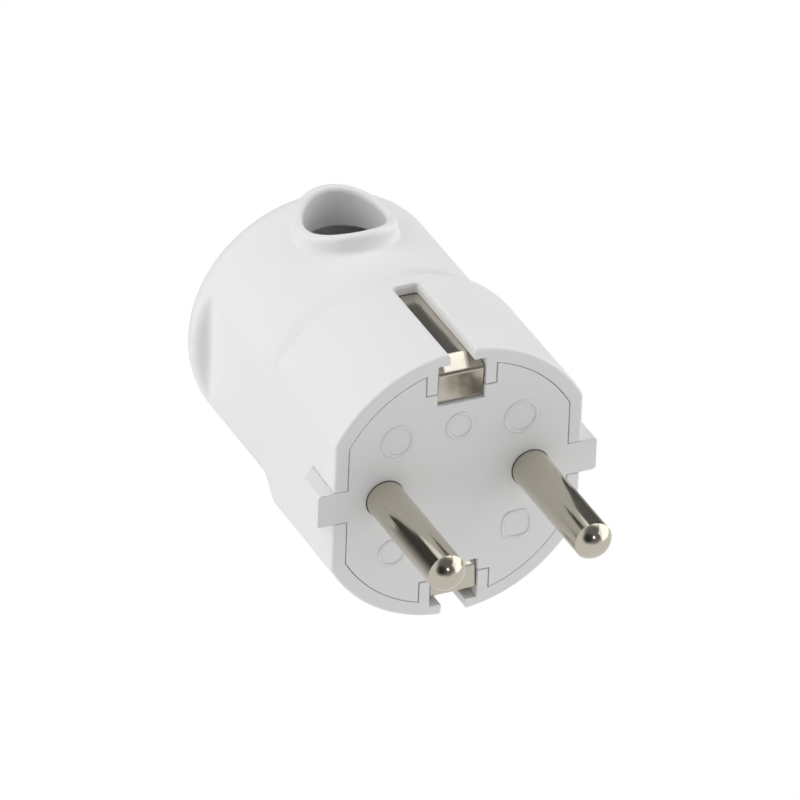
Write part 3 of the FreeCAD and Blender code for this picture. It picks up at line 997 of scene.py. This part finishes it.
@dataclass
class Studio:
    """Floor, lights and surroundings, with sizes in metres."""

    floor_level: float
    floor_half: float = 4.0
    floor_gap: float = 0.02 * MM
    surround: float = 0.785
    softboxes: tuple[Softbox, ...] = (
        Softbox("left_softbox", (-1.0, 0.2, 0.45), 1.0, 0.9, 0.9, mirrored=False),
        Softbox("left_rear_softbox", (-0.75, 0.1, -0.65), 1.25, 0.6, 0.6, mirrored=False),
        Softbox("right_window", (0.93, 0.302, 0.208), 2.9, 0.8, 1.2),
        Softbox("overhead_softbox", (0.4, 0.88, -0.2), 0.75, 0.4, 0.58),
        Softbox("upper_left_softbox", (-0.6, 0.75, -0.3), 1.5, 0.5, 0.5),
        Softbox("cable_side_softbox", (-0.07, 0.64, -0.76), 0.22, 0.27, 0.27),
        Softbox("low_front_softbox", (0.2, -0.6, 0.75), 0.45, 0.8, 0.8, mirrored=False),
        Softbox("top_fill", (0.35, 0.9, 0.1), 0.58, 0.8, 0.8, mirrored=False),
        Softbox("small_lamp", (0.05, 0.374, 0.927), 0.16, 0.12, 0.12),
    )
    sky_zones: tuple[SkyZone, ...] = (
        SkyZone((0.0, 0.2, -0.98), 38.0, 56.0, 0.04),
        SkyZone((0.371, 0.533, -0.76), 16.0, 34.0, 0.12),
        SkyZone((0.024, 0.607, 0.794), 34.0, 58.0, 0.16),
        SkyZone((-0.496, 0.311, 0.811), 4.0, 34.0, 0.035),
    )

    def build(self) -> None:
        """Makes the floor, the lights and the surroundings."""
        self.floor()
        self.world()
        for box in self.softboxes:
            self.hang(box)

    def floor(self) -> None:
        """Makes the pale floor, which is seen but neither lights nor shades the part."""
        half, level = self.floor_half, self.floor_level - self.floor_gap
        corners = [(x * half, y * half, level) for x, y in ((-1, -1), (1, -1), (1, 1), (-1, 1))]
        mesh = bpy.data.meshes.new("pale_floor")
        mesh.from_pydata(corners, [], [tuple(range(len(corners)))])
        piece = bpy.data.objects.new("pale_floor", mesh)
        bpy.context.scene.collection.objects.link(piece)
        material = bpy.data.materials.new("pale_floor")
        sheet = blank_sheet(material)
        glow = sheet.add("ShaderNodeEmission", {"Color": WHITE, "Strength": 1.0})
        sheet.add("ShaderNodeOutputMaterial", {"Surface": glow.outputs[0]})
        mesh.materials.append(material)
        piece.visible_diffuse = False
        piece.visible_glossy = False
        piece.visible_shadow = False
        piece.visible_transmission = False

    def world(self) -> None:
        """Makes pale surroundings with dim zones behind the rear end and over the camera."""
        world = bpy.data.worlds.new("studio")
        bpy.context.scene.world = world
        sheet = blank_sheet(world)
        place = sheet.add("ShaderNodeTexCoord").outputs["Generated"]
        level: Any = self.surround
        for zone in self.sky_zones:
            share = self.share(sheet, place, zone)
            inputs = {MIX_FACTOR: share, MIX_FIRST: level, MIX_SECOND: zone.level}
            level = sheet.add("ShaderNodeMix", inputs, data_type="FLOAT").outputs[0]
        glow = sheet.add("ShaderNodeBackground", {"Color": WHITE, "Strength": level})
        white = sheet.add("ShaderNodeBackground", {"Color": WHITE, "Strength": 1.0})
        seen = sheet.add("ShaderNodeLightPath").outputs["Is Camera Ray"]
        shaders = {0: seen, 1: glow.outputs[0], 2: white.outputs[0]}
        mix = sheet.add("ShaderNodeMixShader", shaders)
        sheet.add("ShaderNodeOutputWorld", {"Surface": mix.outputs[0]})

    @staticmethod
    def share(
        sheet: NodeSheet, place: bpy.types.NodeSocket, zone: SkyZone
    ) -> bpy.types.NodeSocket:
        """Lays the share that one zone has in a direction.

        Args:
            sheet: Node sheet of the surroundings.
            place: Direction that is looked at.
            zone: The zone.

        Returns:
            Nothing outside the zone, rising to one inside.
        """
        centre = tuple(Vector(zone.centre).normalized())
        turn = sheet.add("ShaderNodeVectorMath", {0: place, 1: centre}, operation="DOT_PRODUCT")
        limits = {
            "Value": turn.outputs["Value"],
            "From Min": math.cos(math.radians(zone.outer_deg)),
            "From Max": math.cos(math.radians(zone.inner_deg)),
        }
        ramp = sheet.add("ShaderNodeMapRange", limits, interpolation_type="SMOOTHSTEP")
        return ramp.outputs["Result"]

    @staticmethod
    def hang(box: Softbox) -> None:
        """Hangs one softbox that faces the part.

        Args:
            box: The softbox.
        """
        lamp = bpy.data.lights.new(box.name, "AREA")
        lamp.shape = "RECTANGLE"
        lamp.size = box.width
        lamp.size_y = box.height
        lamp.energy = box.power
        stand = bpy.data.objects.new(box.name, lamp)
        stand.location = Vector(box.direction).normalized() * box.distance
        stand.rotation_mode = "QUATERNION"
        stand.rotation_quaternion = (-stand.location).to_track_quat("-Z", "Y")
        stand.visible_camera = False
        stand.visible_glossy = box.mirrored
        bpy.context.scene.collection.objects.link(stand)


@dataclass(frozen=True)
class PhotoCamera:
    """Long-lens camera at the picture's viewing angle, in metres; lens and sensor in mm."""

    back: Point = (-0.37132, 0.53290, 0.76036)
    up: Point = (0.19623, 0.84545, -0.49670)
    distance: float = 1.42857
    aim_right: float = -6.854 * MM
    aim_up: float = 9.834 * MM
    lens: float = 542.137
    sensor: float = 36.0
    clip_start: float = 0.1
    clip_end: float = 50.0

    def build(self) -> None:
        """Places the camera and makes it the scene's own."""
        back = Vector(self.back).normalized()
        right = Vector(self.up).cross(back).normalized()
        up = back.cross(right)
        eye = back * self.distance
        target = right * self.aim_right + up * self.aim_up
        view_back = (eye - target).normalized()
        view_right = up.cross(view_back).normalized()
        view_up = view_back.cross(view_right)
        data = bpy.data.cameras.new("photo_camera")
        data.lens = self.lens
        data.sensor_width = self.sensor
        data.clip_start = self.clip_start
        data.clip_end = self.clip_end
        camera = bpy.data.objects.new("photo_camera", data)
        turn = Matrix((view_right, view_up, view_back)).transposed()
        camera.matrix_world = Matrix.Translation(eye) @ turn.to_4x4()
        bpy.context.scene.collection.objects.link(camera)
        bpy.context.scene.camera = camera


def main() -> None:
    """Builds the pieces in order."""
    logging.basicConfig(level=logging.INFO, format="%(name)s: %(message)s")
    bpy.context.scene.view_settings.view_transform = "Standard"
    rack = FinishRack(EffectGroups())
    shell = ("hood", "pin_carrier")
    pins = ("pin_left", "pin_right")
    cord_grip = ("pin_retainer", "clamp_bar")
    fasteners = (
        "terminal_screw_left",
        "terminal_screw_right",
        "clamp_screw_left",
        "clamp_screw_right",
        "earth_washer",
        "earth_screw",
        "housing_screw",
    )
    assemblies: list[CadPieces | EarthStrap | ScrewThreads | HexNut | FaceMarks] = [
        CadPieces("shell", dict.fromkeys(shell, Slot.WHITE_SHELL)),
        CadPieces("pins", dict.fromkeys(pins, Slot.NICKEL_BRASS)),
        CadPieces("cord grip", dict.fromkeys(cord_grip, Slot.GREY_PLASTIC)),
        CadPieces("fasteners", dict.fromkeys(fasteners, Slot.PLATED_STEEL)),
        EarthStrap(),
        ScrewThreads(),
        HexNut(),
        FaceMarks(),
    ]
    for assembly in assemblies:
        pieces = assembly.build()
        assembly.dress(rack)
        for piece in pieces:
            log.info("%s: %s", assembly.title, piece.name)
    Studio(floor_level=cad_box[0].z).build()
    PhotoCamera().build()


if __name__ == "__main__":
    main()
